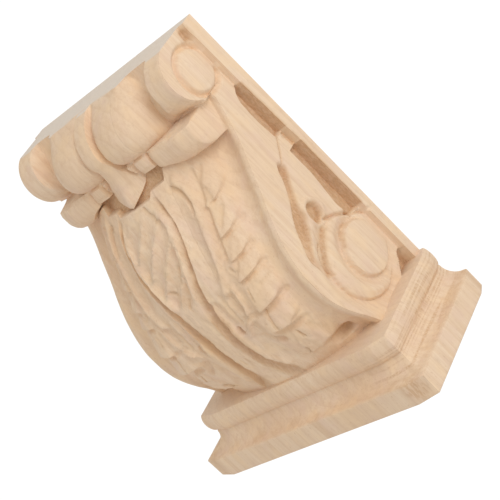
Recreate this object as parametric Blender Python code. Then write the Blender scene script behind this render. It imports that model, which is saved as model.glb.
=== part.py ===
"""Carved wooden corbel bracket.

One solid block of pale wood, fixed to a wall by its flat back: an abacus slab
on a cavetto and a bead, a swelling body with an acanthus leaf on its front and
scrolls on its sides, and a rolled volute at its flat foot.

Metres, +Z up. The origin is the middle of the back face, which is the plane
y = 0. The front faces -Y. The carving is drawn on a pattern whose units are
stretched to the body's real width, depth and height.
"""

from math import radians

import bmesh
import bpy
import numpy as np

# Driving dimensions of the block and its mouldings, in metres
HEIGHT = 0.200
DEPTH = 0.0796
ABACUS_WIDTH = 0.1697
BODY_WIDTH = 0.130
BACK_STRIP_PROUD = 0.0035
ABACUS_THICK = 0.0130
CAVETTO_HEIGHT = 0.0079
FILLET_HEIGHT = 0.0015
BEAD_HEIGHT = 0.0116
ABACUS_ARRIS = 0.0023
CAVETTO_REACH = 0.0090
BEAD_SETBACK = 0.0097
NOTCH_SETBACK = 0.0126
LEDGE_SETBACK = 0.0112
FRONT_CORNER_CUT = (0.0120, 0.0035)
BACK_CORNER_CUT = (0.0025, 0.0070)
SLOT_DEEP = 0.0036

WOOD_COLOUR = (0.73, 0.56, 0.40, 1.0)
WOOD_ROUGHNESS = 0.72

# The pattern that the carving is drawn on: half the width across, the depth
# from the wall, and the length down from the abacus top
PATTERN_HALF = 65.0
PATTERN_DEPTH = 79.6
PATTERN_LEDGE = 34.0
PATTERN_FOOT = 200.0
ROLL_NOTCH = 168.4

# The block's scale against the pattern
MOULDING_HEIGHT = ABACUS_THICK + CAVETTO_HEIGHT + FILLET_HEIGHT + BEAD_HEIGHT
ACROSS = BODY_WIDTH / 2 / PATTERN_HALF
OUTWARD = DEPTH / PATTERN_DEPTH
DOWNWARD = (HEIGHT - MOULDING_HEIGHT) / (PATTERN_FOOT - PATTERN_LEDGE)
TOP_Z = HEIGHT / 2
LEDGE_Z = TOP_Z - MOULDING_HEIGHT

# Curves down the body, as (length, value) points on the pattern
BAND_EDGE = (
    (34, 51.0), (42, 55.2), (48, 59.0), (56, 63.0), (64, 65.5), (72, 66.5), (80, 66.3), (89, 64.5),
    (100, 60.3), (110, 54.8), (120, 48.0), (131, 41.2), (144, 33.0), (152, 29.2), (168, 23.0),
)
CROWN = (
    (34, 67.0), (42, 69.5), (50, 72.5), (60, 75.2), (70, 76.8), (80, 77.2), (90, 77.0), (100, 76.2),
    (110, 74.4), (120, 71.5), (130, 67.3), (140, 61.8), (150, 54.5), (168, 44.0),
)
STEM_EDGE = (
    (34, 6.5), (40, 6.0), (55, 5.3), (73, 5.0), (87, 6.3), (93, 7.3), (100, 8.8), (106, 11.3), (112, 13.6),
    (118, 15.4), (124, 16.9), (130, 17.7), (135, 18.2), (141, 16.6), (150, 13.6),
)
VALLEY_EDGE = (
    (34, 15.5), (38, 15.2), (41, 14.6), (46, 12.2), (52, 11.0), (57, 10.2), (63, 10.2), (70, 10.6), (78, 11.2),
    (86, 11.8), (92, 12.9), (100, 14.2), (106, 15.6), (112, 17.4), (118, 19.1), (124, 20.3), (130, 20.9),
    (136, 20.8), (143, 19.0), (150, 16.0),
)
VALLEY_DEEP = (
    (34, 0.6), (40, 3.4), (60, 4.3), (90, 4.2), (100, 3.8), (124, 3.4), (133, 3.4), (136.5, 1.8), (141, 2.0),
    (146, 1.4), (150, 0.4),
)
WALL_START = 0.2
WALL_RUN = 0.8

# Lobes of the leaf: root length, tip length, inner and outer half width, height
LOBES = (
    (151.0, 132.5, 38.0, 50.0, 3.4),
    (134.0, 118.0, 38.5, 50.0, 3.4),
    (119.0, 107.0, 38.0, 50.5, 3.4),
    (108.0, 97.5, 36.0, 51.0, 3.6),
    (99.0, 80.8, 35.0, 51.5, 4.8),
    (83.0, 66.8, 28.5, 49.5, 5.0),
    (63.0, 43.5, 36.5, 50.0, 3.6),
)

# Broad ridges and hollows of the leaf: half width, height, and the path as (across, length)
LEAF_STROKES = (
    (4.2, 2.0, (
        (30, 150), (34, 144), (35.2, 138), (34.6, 129), (33.5, 119), (32, 109), (29, 101), (26, 95),
    )),
    (3.2, -1.9, ((38.4, 147), (38.4, 138), (38, 128), (37.2, 118), (36.4, 110))),
    (3.2, 1.5, ((31.4, 96), (30.4, 86), (27.4, 80), (23, 75), (19, 71))),
    (4.6, -2.0, ((26.6, 93), (26.2, 85))),
    (5.0, -1.8, ((15.5, 92), (15.5, 80))),
    (4.0, -2.2, ((25, 66.5), (26.2, 62.5), (29.5, 59.3))),
    (3.0, -1.6, ((46.5, 59), (48.2, 52), (48.8, 46))),
)

# Volute at the foot: profiles down the pattern, as (length, depth) points
DISC_CENTRE = (24.5, 184.5)
DISC_RADIUS = 16.0
SWELLING = (
    (168.4, 45.4), (169.4, 46.8), (171, 48.6), (174, 50.6), (178, 51.5), (182, 51.0), (186, 49.5),
    (190, 46.8), (194, 43.4), (197, 40.0), (200, 36.0),
)
SWELLING_EDGE = ((168.4, 40.5), (176, 41.0), (183, 41.0), (189, 40.0), (194, 38.0), (200, 34.5))
STRAP = (
    (148.5, 55.8), (150.3, 55.2), (160, 52.0), (168, 50.2), (174, 50.6), (178, 51.6), (182, 51.2),
    (186, 49.9), (190, 47.8), (194, 45.2), (200, 42.0),
)
STRAP_HALF = ((150, 12.6), (158, 12.4), (162, 10.0), (168, 7.0), (174, 5.2), (180, 4.9), (200, 4.9))
NECK = (
    (168.4, 31.0), (170, 32.4), (173, 33.4), (178, 33.6), (183, 32.2), (190, 28.4), (196, 25.8), (200, 25.0),
)
DISC_EDGE = ((168.4, 47.6), (174, 48.7), (183.5, 52.0), (192, 52.2), (200, 53.2))
FOOT_EDGE = (
    (0, 30.0), (9, 28.4), (20, 29.0), (26, 31.6), (30, 33.6), (33, 31.5), (36.5, 27.0), (43, 25.2),
    (50, 25.2), (53, 28.6), (65, 28.5),
)
SECOND_ROLL = (
    (150.3, 36.0), (151.2, 39.6), (153, 43.0), (156, 45.6), (160, 47.0), (164, 47.0), (167, 46.0),
    (168.4, 45.2),
)
ROLL_LOWER_EDGE = (
    (0, 150.3), (4.8, 152.4), (10, 154.8), (12.6, 156.7), (14.0, 159.8), (25.0, 159.8), (26.0, 158.8),
    (33, 156.8), (42, 153.0), (50, 152.0), (57, 151.3), (65, 150.5),
)
STRAP_FLATTENS = (172.0, 182.0)
STRAP_GROOVE = (158.0, 164.0)
STRAP_GROOVE_HALF = 1.7
STRAP_GROOVE_DEEP = 3.2
FOOT_CLOSING = (190.0, 200.6)
BLOCK_FACE = 46.8
BLOCK_EDGE = 15.0
BLOCK_END = (24.8, 25.4)

# Side carving: scroll, upper button, eye, slots and the groove beside the band, as (depth, length)
SCROLL_CENTRE = (28.4, 60.5)
SCROLL_RADIUS = 22.9
BUTTON_CENTRE = (21.8, 59.3)
BUTTON_RADIUS = 14.9
SCROLL_WEDGE = ((27.5, 85.8), (21, 82.0), (15.7, 78.4), (10, 73.6), (5.0, 69.2))
UPPER_CENTRE = (19.5, 180.5)
UPPER_BUTTON = 11.0
UPPER_RIM = 14.4
EYE = (30.3, 92.3, 4.6, 5.6)
STRIP_EDGE = ((34, 6.0), (120, 6.0), (130, 6.9), (150, 7.6), (162, 8.2), (200, 8.5))
SLOT_FRONT = (
    (34, 13.2), (74, 13.2), (79, 14.7), (85, 15.4), (98, 13.7), (106, 12.8), (120, 12.8), (130, 13.4),
    (143, 14.4), (153, 13.9), (158, 11.8), (161, 9.2), (200, 9.4),
)
UPPER_SLOT = (128.8, 161.0)
LOWER_SLOT = (74.0, 119.6)
GROOVE_PATH = (
    (66, 51.5), (72, 52.2), (79, 52.4), (84, 50.6), (88, 47.6), (95, 42.8), (101, 38.8), (106, 34.3),
    (112, 29.3), (117, 25.8), (121, 25.0),
)
GROOVE_HALF = (
    (66, 1.0), (79, 1.7), (84, 3.0), (88, 4.6), (95, 5.4), (101, 4.2), (106, 3.1), (112, 2.9), (117, 3.3),
    (121, 1.6),
)
GROOVE_DEEP = (
    (66, 0.0), (74, 1.6), (84, 3.0), (92, 4.2), (98, 3.8), (105, 2.9), (112, 3.3), (117, 4.2), (120.5, 1.8),
    (122, 0.0),
)

# How the faces run: rows down the body, and lines that follow the carving round it
ROW_PITCH = 2.9
STEP_GAP = 0.7
TIP_RUN = 1.8
SOFT = 1.2
EDGE_GAP = 0.1
WALL_SOFT = 0.3
DISC_RISE = 2.2
ROLL_BACK = 19.0
ROLL_LINES = (20.0, 29.0)
LEAF_END = (149.5, 152.0)
LEAF_LINES = (35.0, 39.0, 43.0, 46.5, 48.7, 50.6, 54.4, 58.4, 62.0)
SIDE_PATH = (
    (34, 31.0), (38, 33.0), (41, 40.5), (45, 45.9), (50, 49.5), (57, 52.0), (66, 51.5), (72, 52.2), (79, 52.4),
    (84, 50.6), (88, 47.6), (95, 42.8), (101, 38.8), (106, 34.3), (112, 29.3), (117, 25.8), (121, 25.0),
    (150, 20.5), (166, 20.0), (170, 26.5), (175, 31.0), (181, 32.2), (187, 30.5), (191, 26.5), (200, 22.0),
)
BEHIND_PATH = 8
BEFORE_PATH = 3


def smooth_curve(points, x):
    """Value at x of the smooth curve through the points, which never overshoots them."""
    knots, values = np.array(points, float).T
    span = np.diff(knots)
    slope = np.diff(values) / span
    tangent = np.concatenate(([slope[0]], np.zeros(len(slope) - 1), [slope[-1]]))
    before, after = slope[:-1], slope[1:]
    same_way = before * after > 0
    tangent[1:-1][same_way] = (2 * before * after)[same_way] / (before + after)[same_way]
    x = np.clip(x, knots[0], knots[-1])
    i = np.clip(np.searchsorted(knots, x) - 1, 0, len(span) - 1)
    t = (x - knots[i]) / span[i]
    rise = values[i + 1] - values[i]
    bend = (1 - t) * (span[i] * tangent[i] - rise) - t * (span[i] * tangent[i + 1] - rise)
    return values[i] + t * rise + t * (1 - t) * bend


def step(x, start, end):
    """0 up to start, 1 from end on, and smooth between them."""
    t = np.clip((x - start) / (end - start), 0, 1)
    return t * t * (3 - 2 * t)


def bump(x, half):
    """1 at zero, falling smoothly to 0 at half on either side."""
    return np.cos(np.clip(x / half, -1, 1) * np.pi / 2) ** 2


def off_path(x, y, path):
    """Distance from the nearest point of a path."""
    nearest = np.full(np.broadcast(x, y).shape, np.inf)
    for (a, b), (c, d) in zip(path[:-1], path[1:]):
        run, rise = c - a, d - b
        t = np.clip(((x - a) * run + (y - b) * rise) / (run**2 + rise**2), 0, 1)
        nearest = np.minimum(nearest, np.hypot(x - a - t * run, y - b - t * rise))
    return nearest


def strokes(x, y, drawn):
    """Relief of the ridges and hollows drawn along paths."""
    return sum(height * bump(off_path(x, y, path), half) for half, height, path in drawn)


def lobe(across, length, root, tip, inner, outer, height):
    """A leaf lobe: it rises from its root to its tip, and drops off sharply there."""
    grown = np.clip((root - length) / (root - tip), 0, 1)
    outline = outer - 5 * (1 - np.clip(grown / 0.6, 0, 1)) ** 2 - 4 * np.clip(4 * grown - 3, 0, 1) ** 2
    inside = step(across, inner - 3, inner + 3) * (1 - step(across, outline - STEP_GAP, outline + STEP_GAP))
    middle = (inner + outer) / 2
    crowned = 1 - 0.35 * np.clip((across - middle) / (outer - middle), -1, 1) ** 2
    return height * grown**0.8 * crowned * inside * step(length, tip - TIP_RUN, tip + STEP_GAP / 2)


def valley_relief(across, length):
    """The valley beside the stem: a gentle slope out from the stem, and a steep wall at its far edge."""
    inner, outer = smooth_curve(STEM_EDGE, length), smooth_curve(VALLEY_EDGE, length)
    slope = np.sin(np.clip((across - inner) / (outer - inner), 0, 1) * np.pi / 2)
    wall = 1 - step(across, outer - WALL_START, outer + WALL_RUN)
    return -smooth_curve(VALLEY_DEEP, length) * slope * wall


def leaf_relief(across, length):
    """Lobes, ribs and hollows of one half of the leaf, over its smooth dome."""
    raised = 1.6 * step(across, 14, 40) * (1 - step(across, 45.5, 50.5))
    lobes = np.max([lobe(across, length, *shape) for shape in LOBES], axis=0)
    hollow = -2.2 * bump(across - 26.5, 7) * step(length, 98, 112) * (1 - step(length, 138, 147))
    bud = -1.6 * (1 - step(across, 4, 14)) * step(length, 98, 112) * (1 - step(length, 132, 146))
    pit = -8.0 * bump(across - 46.5, 6.5) ** 0.6 * bump(length - 41.2, 4.2) ** 0.6
    panel = -1.0 * bump(across - 21, 8) * bump(length - 58, 18)
    return raised + lobes + hollow + bud + pit + panel + strokes(across, length, LEAF_STROKES)


def disc_front(length):
    """Depth of the volute's round disc."""
    depth, centre = DISC_CENTRE
    least = np.where(length < centre, 36.0, 4.0)
    return depth + np.sqrt(np.maximum(DISC_RADIUS**2 - (length - centre) ** 2, least))


def strap_relief(across, length, beside):
    """The strap down the volute's middle, a ridge between grooves that ends in a pendant."""
    half = smooth_curve(STRAP_HALF, length)
    slope = 0.30 * (1 - step(length, *STRAP_FLATTENS)) + 0.04
    strap = smooth_curve(STRAP, length) - slope * np.sqrt(across**2 + 9.0) - 0.012 * across**2
    inside = 1 - step(across, half - WALL_START, half + WALL_START)
    groove = bump(across - half - STRAP_GROOVE_HALF + 0.6, STRAP_GROOVE_HALF)
    groove = STRAP_GROOVE_DEEP * groove * step(length, *STRAP_GROOVE)
    return beside - groove + (strap - beside + groove) * inside


def upper_roll(across, length):
    """The volute's first roll: a bulging swelling, a deep neck and a disc, out from the middle."""
    crest, neck = smooth_curve(SWELLING, length), smooth_curve(NECK, length)
    reach = smooth_curve(SWELLING_EDGE, length) - ROLL_BACK
    fallen = np.clip((across - ROLL_BACK) / reach, 0, 1) ** 2.3
    outer = neck + (crest - neck) * (1 - fallen) ** 0.6
    inner = crest - 2.8 * np.clip((ROLL_BACK - across) / 13, 0, 1) ** 2
    swelling = strap_relief(across, length, np.where(across > ROLL_BACK, outer, inner))
    start, end = FOOT_CLOSING
    closing = np.sqrt(1 - np.clip((length - start) / (end - start), 0, 1) ** 2)
    foot = smooth_curve(FOOT_EDGE, across)
    swelling = foot + (swelling - foot) * closing
    edge = smooth_curve(DISC_EDGE, length)
    return swelling + (disc_front(length) - swelling) * step(across, edge - DISC_RISE, edge)


def lower_roll(across, length):
    """The second roll with its rounded end, the small square block beside it and the pendant."""
    band = smooth_curve(BAND_EDGE, length)
    roll = smooth_curve(SECOND_ROLL, length) - 3.0 * step(across, 46, 58)
    roll = roll - 5.0 * (1 - np.sqrt(1 - np.clip((31 - across) / 6.2, 0, 1) ** 2))
    roll = roll + (band - roll) * step(across, 56.5, 61.5)
    inside = strap_relief(across, length, BLOCK_FACE + 0 * roll)
    inside = inside - 3.6 * bump(across - 13.8, 1.3)
    shape = inside + (roll - inside) * step(across, *BLOCK_END)
    notch = 45.0 - 14.4 * step(across, 40, 52)
    notch = np.where(across < 12, strap_relief(across, length, notch), notch)
    return notch + (shape - notch) * (1 - step(length, ROLL_NOTCH - 1.4, ROLL_NOTCH))


def leaf_dome(across, length):
    """The body below the volute: domed in the middle, with a gutter inside each edge band."""
    band = smooth_curve(BAND_EDGE, length)
    crown = smooth_curve(CROWN, length)
    dome = np.clip(1 - (across / 52) ** 2, 0, 1)
    return band + (crown - band) * dome - 2.2 * bump(across - 56.0, 7.5)


def pocket_top(across):
    """Length at which the leaf ends and the dark pocket under the rolls begins."""
    end = 149.8 + 2.6 * step(across, 13, 15) + 5.5 * step(across, 24.5, 27)
    return np.minimum(end, smooth_curve(ROLL_LOWER_EDGE, across) - 0.9)


def front_depth(across, length):
    """Depth of the front surface from the wall plane, on the pattern."""
    body = leaf_dome(across, length)
    carved = body + valley_relief(across, length) + leaf_relief(across, length)
    pocket = body - 3.2 * (1 - step(across, 25, 27)) - 1.6 * (1 - step(across, 48, 54))
    below = np.where(length < pocket_top(across), carved, np.minimum(carved, pocket))
    below = np.where(across > 53, carved, below)
    lower = np.where(length > smooth_curve(ROLL_LOWER_EDGE, across), lower_roll(across, length), below)
    lower = np.where(across > 61.5, smooth_curve(BAND_EDGE, length), lower)
    return np.where(length > ROLL_NOTCH, upper_roll(across, length), lower)


def band_front(length):
    """Depth of the front edge of a side face."""
    return front_depth(np.full_like(length, PATTERN_HALF), length)


def scroll_relief(depth, length):
    """The scroll on the side face: a raised disc, and a raised button in it."""
    across, up = depth - SCROLL_CENTRE[0], length - SCROLL_CENTRE[1]
    radius = np.hypot(across, up)
    angle = np.degrees(np.arctan2(up, across))
    open_side = step(angle, -135, -100) * (1 - step(angle, 70, 130))
    outside = -3.0 * (1 - step(radius, SCROLL_RADIUS + 1, SCROLL_RADIUS + 9)) * open_side
    outside = outside * step(radius, SCROLL_RADIUS - SOFT, SCROLL_RADIUS + SOFT)
    rounded = -1.1 * step(radius, SCROLL_RADIUS - 4, SCROLL_RADIUS)
    rounded = rounded * (1 - step(radius, SCROLL_RADIUS, SCROLL_RADIUS + SOFT))
    from_button = np.hypot(depth - BUTTON_CENTRE[0], length - BUTTON_CENTRE[1])
    ring = -2.6 * (1 - step(from_button, BUTTON_RADIUS + 1, BUTTON_RADIUS + 7.5))
    ring = ring * step(from_button, BUTTON_RADIUS - SOFT, BUTTON_RADIUS + SOFT) * step(depth, 7, 15)
    dome = 1.0 * np.clip(1 - (from_button / BUTTON_RADIUS) ** 2, 0, 1) ** 0.6 * step(depth, 7, 15)
    wedge = -2.2 * bump(off_path(depth, length, SCROLL_WEDGE), 1.5)
    return outside + rounded * open_side + ring + dome + wedge


def upper_button_relief(depth, length):
    """The ring between the upper volute's raised button and its rim."""
    radius = np.hypot(depth - UPPER_CENTRE[0], length - UPPER_CENTRE[1])
    middle = (UPPER_BUTTON + UPPER_RIM) / 2
    ring = -2.6 * bump(radius - middle, middle - UPPER_BUTTON + 0.7)
    ring = ring * step(depth, 8.6, 9.6)
    return ring + 0.8 * np.clip(1 - (radius / UPPER_BUTTON) ** 2, 0, 1) * step(depth, 8.6, 11)


def in_slots(depth, length, back):
    """1 inside the two slots beside the back strip and the shallow link between them, 0 outside."""
    front = smooth_curve(SLOT_FRONT, length)
    within = step(depth, back - WALL_SOFT, back + WALL_SOFT)
    within = within * (1 - step(depth, front - WALL_SOFT, front + WALL_SOFT))
    link = 0.45 * (1 - step(depth, 8.6, 9.4))
    shares = ((*UPPER_SLOT, 1.0), (*LOWER_SLOT, 1.0), (LOWER_SLOT[1], UPPER_SLOT[0], link))
    reached = sum(
        share * step(length, low, low + STEP_GAP) * (1 - step(length, high - STEP_GAP, high))
        for low, high, share in shares
    )
    return within * reached


def side_half(depth, length):
    """Half width of the body at a depth from the wall, on the pattern."""
    strip = smooth_curve(STRIP_EDGE, length)
    proud = BACK_STRIP_PROUD / ACROSS * (1 - step(depth, strip - WALL_SOFT, strip + WALL_SOFT))
    slots = -SLOT_DEEP / ACROSS * in_slots(depth, length, strip)
    half = smooth_curve(GROOVE_HALF, length)
    off = np.abs(depth - smooth_curve(GROOVE_PATH, length))
    groove = -smooth_curve(GROOVE_DEEP, length) * bump(off, 1.3 * half + 1.2)
    eye_at = np.hypot((depth - EYE[0]) / EYE[2], (length - EYE[1]) / EYE[3])
    eye = -3.4 * (1 - step(eye_at, 0.8, 1.2))
    corner = step(depth, 6.0, 6.6) * (1 - step(depth + 0.95 * (length - 35.5), 15, 16))
    pit = -4.5 * corner * (1 - step(length, 42, 43.5))
    carved = slots + groove + eye + pit + scroll_relief(depth, length) + upper_button_relief(depth, length)
    return PATTERN_HALF + proud + carved


def body_rows():
    """Lengths down the body where its outline is taken, close together at each sharp step."""
    edges = [UPPER_SLOT[0], *LOWER_SLOT, LEAF_END[0], ROLL_NOTCH - EDGE_GAP]
    rows = {PATTERN_LEDGE, PATTERN_FOOT}
    for shape in LOBES[3:]:
        rows |= {shape[1] - TIP_RUN, shape[1] + STEP_GAP / 2}
    for edge in edges:
        rows |= {edge - STEP_GAP / 2, edge + STEP_GAP / 2}
    marks = sorted(rows)
    for low, high in zip(marks[:-1], marks[1:]):
        pieces = max(1, round((high - low) / ROW_PITCH))
        rows |= {low + (high - low) * k / pieces for k in range(pieces)}
    return np.array(sorted(rows))


def front_lines(length):
    """Distances from the middle at which the front is taken: along the stem, or across the rolls."""
    stem, valley = float(smooth_curve(STEM_EDGE, length)), float(smooth_curve(VALLEY_EDGE, length))
    wall = valley + WALL_RUN
    on_leaf = [stem, (stem + valley) / 2, valley - WALL_START, wall]
    on_leaf += [wall + (LEAF_LINES[0] - wall) * k / 5 for k in (1, 2, 3, 4)]
    strap = float(smooth_curve(STRAP_HALF, length))
    on_roll = [strap - WALL_START, strap + WALL_START, strap + 1.2, BLOCK_EDGE, ROLL_LINES[0], *BLOCK_END, ROLL_LINES[1]]
    reached = float(step(length, *LEAF_END))
    inner = [a + (b - a) * reached for a, b in zip(on_leaf, on_roll)]
    if length < ROLL_NOTCH:
        return np.array([0.0, *inner, *LEAF_LINES])
    swelling, disc = float(smooth_curve(SWELLING_EDGE, length)), float(smooth_curve(DISC_EDGE, length))
    outer = [swelling - 9, swelling - 4, swelling - 1.5, swelling, (swelling + disc - DISC_RISE) / 2]
    return np.array([0.0, *inner, *outer, disc - DISC_RISE, disc, (disc + LEAF_LINES[-1]) / 2, LEAF_LINES[-1]])


def body_outline(length):
    """One outline round the body: from its back edge forward, across the front and back again."""
    edge = float(band_front(np.array([length]))[0])
    strip = float(smooth_curve(STRIP_EDGE, length))
    slot_front = float(smooth_curve(SLOT_FRONT, length))
    fixed = [0.0, strip - WALL_SOFT, strip + WALL_SOFT, slot_front - WALL_SOFT, slot_front + WALL_SOFT]
    path, half = float(smooth_curve(SIDE_PATH, length)), 0.5 + float(smooth_curve(GROOVE_HALF, length))
    middle = np.clip(path, fixed[-1] + half + BEHIND_PATH * EDGE_GAP, edge - half - BEFORE_PATH * EDGE_GAP)
    behind = np.linspace(fixed[-1], middle - half, BEHIND_PATH + 1)[1:]
    before = np.linspace(middle + half, edge, BEFORE_PATH + 1)
    depths = np.concatenate((fixed, behind, [middle - half / 2, middle, middle + half / 2], before))
    halves = side_half(depths, np.full_like(depths, length))
    halves[-1] = PATTERN_HALF
    side = list(zip(halves, depths))
    columns = front_lines(length)[::-1]
    front = list(zip(columns, front_depth(columns, np.full_like(columns, length))))
    right = side + front
    left = [(-across, depth) for across, depth in reversed(right[:-1])]
    return [(across * ACROSS, -depth * OUTWARD) for across, depth in right + left]


def moulding_profile():
    """The moulding from the abacus top down to the ledge, as (drop, setback) pairs."""
    cavetto_top = ABACUS_THICK
    notch = cavetto_top + CAVETTO_HEIGHT
    bead_top = notch + FILLET_HEIGHT
    profile = [(0.0, 0.0005), (0.0006, 0.0), (cavetto_top - 0.0006, 0.0003)]
    for turn in np.linspace(0, np.pi / 2, 6):
        inward = ABACUS_ARRIS + CAVETTO_REACH * np.sin(turn)
        profile.append((cavetto_top + CAVETTO_HEIGHT * (1 - np.cos(turn)), inward))
    profile.append((notch + FILLET_HEIGHT / 2, NOTCH_SETBACK))
    for turn in np.linspace(-0.9, 1.0, 7):
        drop = bead_top + BEAD_HEIGHT * (np.sin(turn) - np.sin(-0.9)) / (np.sin(1.0) - np.sin(-0.9))
        falling = (1 - np.cos(turn)) / (1 - np.cos(1.0))
        profile.append((drop, BEAD_SETBACK + (LEDGE_SETBACK - BEAD_SETBACK) * falling))
    return profile


def moulding_outline(setback):
    """The abacus plan with its cut corners, drawn in by the setback."""
    half = ABACUS_WIDTH / 2 - setback
    front = DEPTH - setback
    cut_across, cut_deep = FRONT_CORNER_CUT
    back_across, back_deep = BACK_CORNER_CUT
    right = [
        (half - back_across, 0.0), (half, back_deep),
        (half, front - cut_deep), (half - cut_across, front),
    ]
    left = [(-across, depth) for across, depth in reversed(right)]
    return [(across, -depth) for across, depth in right + left]


def ring(mesh, outline, z):
    """Vertices of one outline at a height."""
    return [mesh.verts.new((x, y, z)) for x, y in outline]


def bridge(mesh, upper, lower, on_back=()):
    """Faces between two outlines; the last one, on the wall side, takes in any extra points there."""
    for i in range(len(upper) - 1):
        mesh.faces.new((upper[i], upper[i + 1], lower[i + 1], lower[i]))
    mesh.faces.new((upper[-1], upper[0], lower[0], *on_back, lower[-1]))


def carved_corbel():
    """The whole bracket as one closed mesh."""
    mesh = bmesh.new()
    moulding = [ring(mesh, moulding_outline(setback), TOP_Z - drop) for drop, setback in moulding_profile()]
    body = []
    for length in body_rows():
        height = LEDGE_Z - (length - PATTERN_LEDGE) * DOWNWARD
        body.append(ring(mesh, body_outline(length), height))
    for upper, lower in [*zip(moulding[:-2], moulding[1:-1]), *zip(body[:-1], body[1:])]:
        bridge(mesh, upper, lower)
    bridge(mesh, moulding[-2], moulding[-1], on_back=(body[0][0], body[0][-1]))
    mesh.faces.new(moulding[0])
    mesh.faces.new(body[-1])
    mesh.faces.new(moulding[-1] + body[0][::-1])
    bmesh.ops.recalc_face_normals(mesh, faces=mesh.faces)
    bmesh.ops.triangulate(mesh, faces=mesh.faces, quad_method="BEAUTY", ngon_method="BEAUTY")
    return mesh


def wood_material():
    """Pale unfinished wood."""
    material = bpy.data.materials.new("pale_wood")
    material.use_nodes = True
    shader = material.node_tree.nodes["Principled BSDF"]
    shader.inputs["Base Color"].default_value = WOOD_COLOUR
    shader.inputs["Roughness"].default_value = WOOD_ROUGHNESS
    return material


def build():
    """Clears the scene and makes the one object."""
    for old in list(bpy.data.objects):
        bpy.data.objects.remove(old, do_unlink=True)
    mesh = carved_corbel()
    data = bpy.data.meshes.new("carved_corbel")
    mesh.to_mesh(data)
    mesh.free()
    data.shade_smooth()
    data.set_sharp_from_angle(angle=radians(35))
    data.materials.append(wood_material())
    corbel = bpy.data.objects.new("carved_corbel", data)
    bpy.context.scene.collection.objects.link(corbel)


build()
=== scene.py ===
"""Carved wooden corbel bracket: the carved block with its finer relief and its
wood, and a plain studio to look at it in.

Metres, +Z up, the back face in the plane y = 0 and the carved front towards -Y.
The carving is drawn on a pattern: distance across from the middle, depth out
from the wall, and length down from the abacus top.
"""

from math import radians

import bmesh
import bpy
import numpy as np
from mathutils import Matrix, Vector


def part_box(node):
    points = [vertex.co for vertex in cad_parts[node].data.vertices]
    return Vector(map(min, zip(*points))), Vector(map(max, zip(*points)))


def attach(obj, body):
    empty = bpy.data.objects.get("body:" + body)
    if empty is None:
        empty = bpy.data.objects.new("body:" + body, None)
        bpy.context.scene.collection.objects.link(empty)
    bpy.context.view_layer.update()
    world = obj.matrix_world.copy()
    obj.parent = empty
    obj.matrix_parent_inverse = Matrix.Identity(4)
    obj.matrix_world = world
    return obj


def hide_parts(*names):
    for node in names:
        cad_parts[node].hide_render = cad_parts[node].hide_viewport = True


bl_info = {
    "name": "Carved Corbel Bracket",
    "version": (1, 0, 0),
    "blender": (4, 5, 0),
    "location": "View3D > Sidebar > Corbel",
    "description": "A carved wooden corbel bracket with acanthus leaf, scrolls and volute",
    "category": "Add Mesh",
}

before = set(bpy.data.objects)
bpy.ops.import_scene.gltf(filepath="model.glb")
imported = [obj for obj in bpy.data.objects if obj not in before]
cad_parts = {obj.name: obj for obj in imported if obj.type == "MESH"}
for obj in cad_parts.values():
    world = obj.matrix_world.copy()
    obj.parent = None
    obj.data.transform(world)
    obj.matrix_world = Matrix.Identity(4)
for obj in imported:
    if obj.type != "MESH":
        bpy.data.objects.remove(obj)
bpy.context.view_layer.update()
LOW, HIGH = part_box("carved_corbel")

# Where the camera stands, how it is turned and its focal length
CAMERA_PLACE = (-0.53418, -0.50266, -0.18832)
CAMERA_TURN = (0.44000, -0.01549, -0.79656, 0.41431)
CAMERA_LENS = 103.436
CAMERA_SENSOR = 36.0
CAMERA_CLIP = (0.01, 30.0)

# The large soft light, the brightness of the backdrop, and the floor
KEY_PLACE = (-1.04, -0.24, -0.62)
KEY_SIZE = 0.6
BACKDROP = 1.05
FLOOR_SIZE = 4.0
FLOOR_COLOUR = (0.86, 0.86, 0.85, 1.0)
FLOOR_ROUGHNESS = 0.8

# The wood in millimetres: where boards meet, the heart of the growth rings, and the stain on the slab
BOARD_EDGES = (-46.5, -26.0, 9.0, 43.0)
RING_HEART = (-70.0, 55.0)
STAIN_CENTRE = (-77.0, -78.0, 92.0)

# Edges of the mouldings in metres, as (drop, setback) or (across, out), and how many lines they take
SLAB_TOP_EDGE = ((0.0, 0.0006), (0.0003, 0.0002), (0.0008, 0.0))
SLAB_UNDER_EDGE = (0.0002, 0.0003)
SLAB_EASED = 0.0014
BACK_CORNER = (0.0025, 0.0070)
FRONT_CORNER = (0.0120, 0.0035)
BEAD_TURN = (-0.9, 1.0)
SLAB_LINES = 8
CAVETTO_LINES = 13
BEAD_LINES = 15
SHARP_ANGLE = radians(50)

# The pattern that the carving is drawn on
PATTERN_HALF = 65.0
PATTERN_DEPTH = 79.6
PATTERN_LEDGE = 34.0
PATTERN_FOOT = 200.0
ROLL_NOTCH = 168.4

# The smooth dome under the leaf, the gutter beside each edge band, and how far carved walls run
DOME_HALF = 52.0
GUTTER_AT = 56.0
GUTTER_HALF = 7.5
GUTTER_DEEP = 2.2
WALL_START = 0.2
WALL_RUN = 0.8

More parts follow.
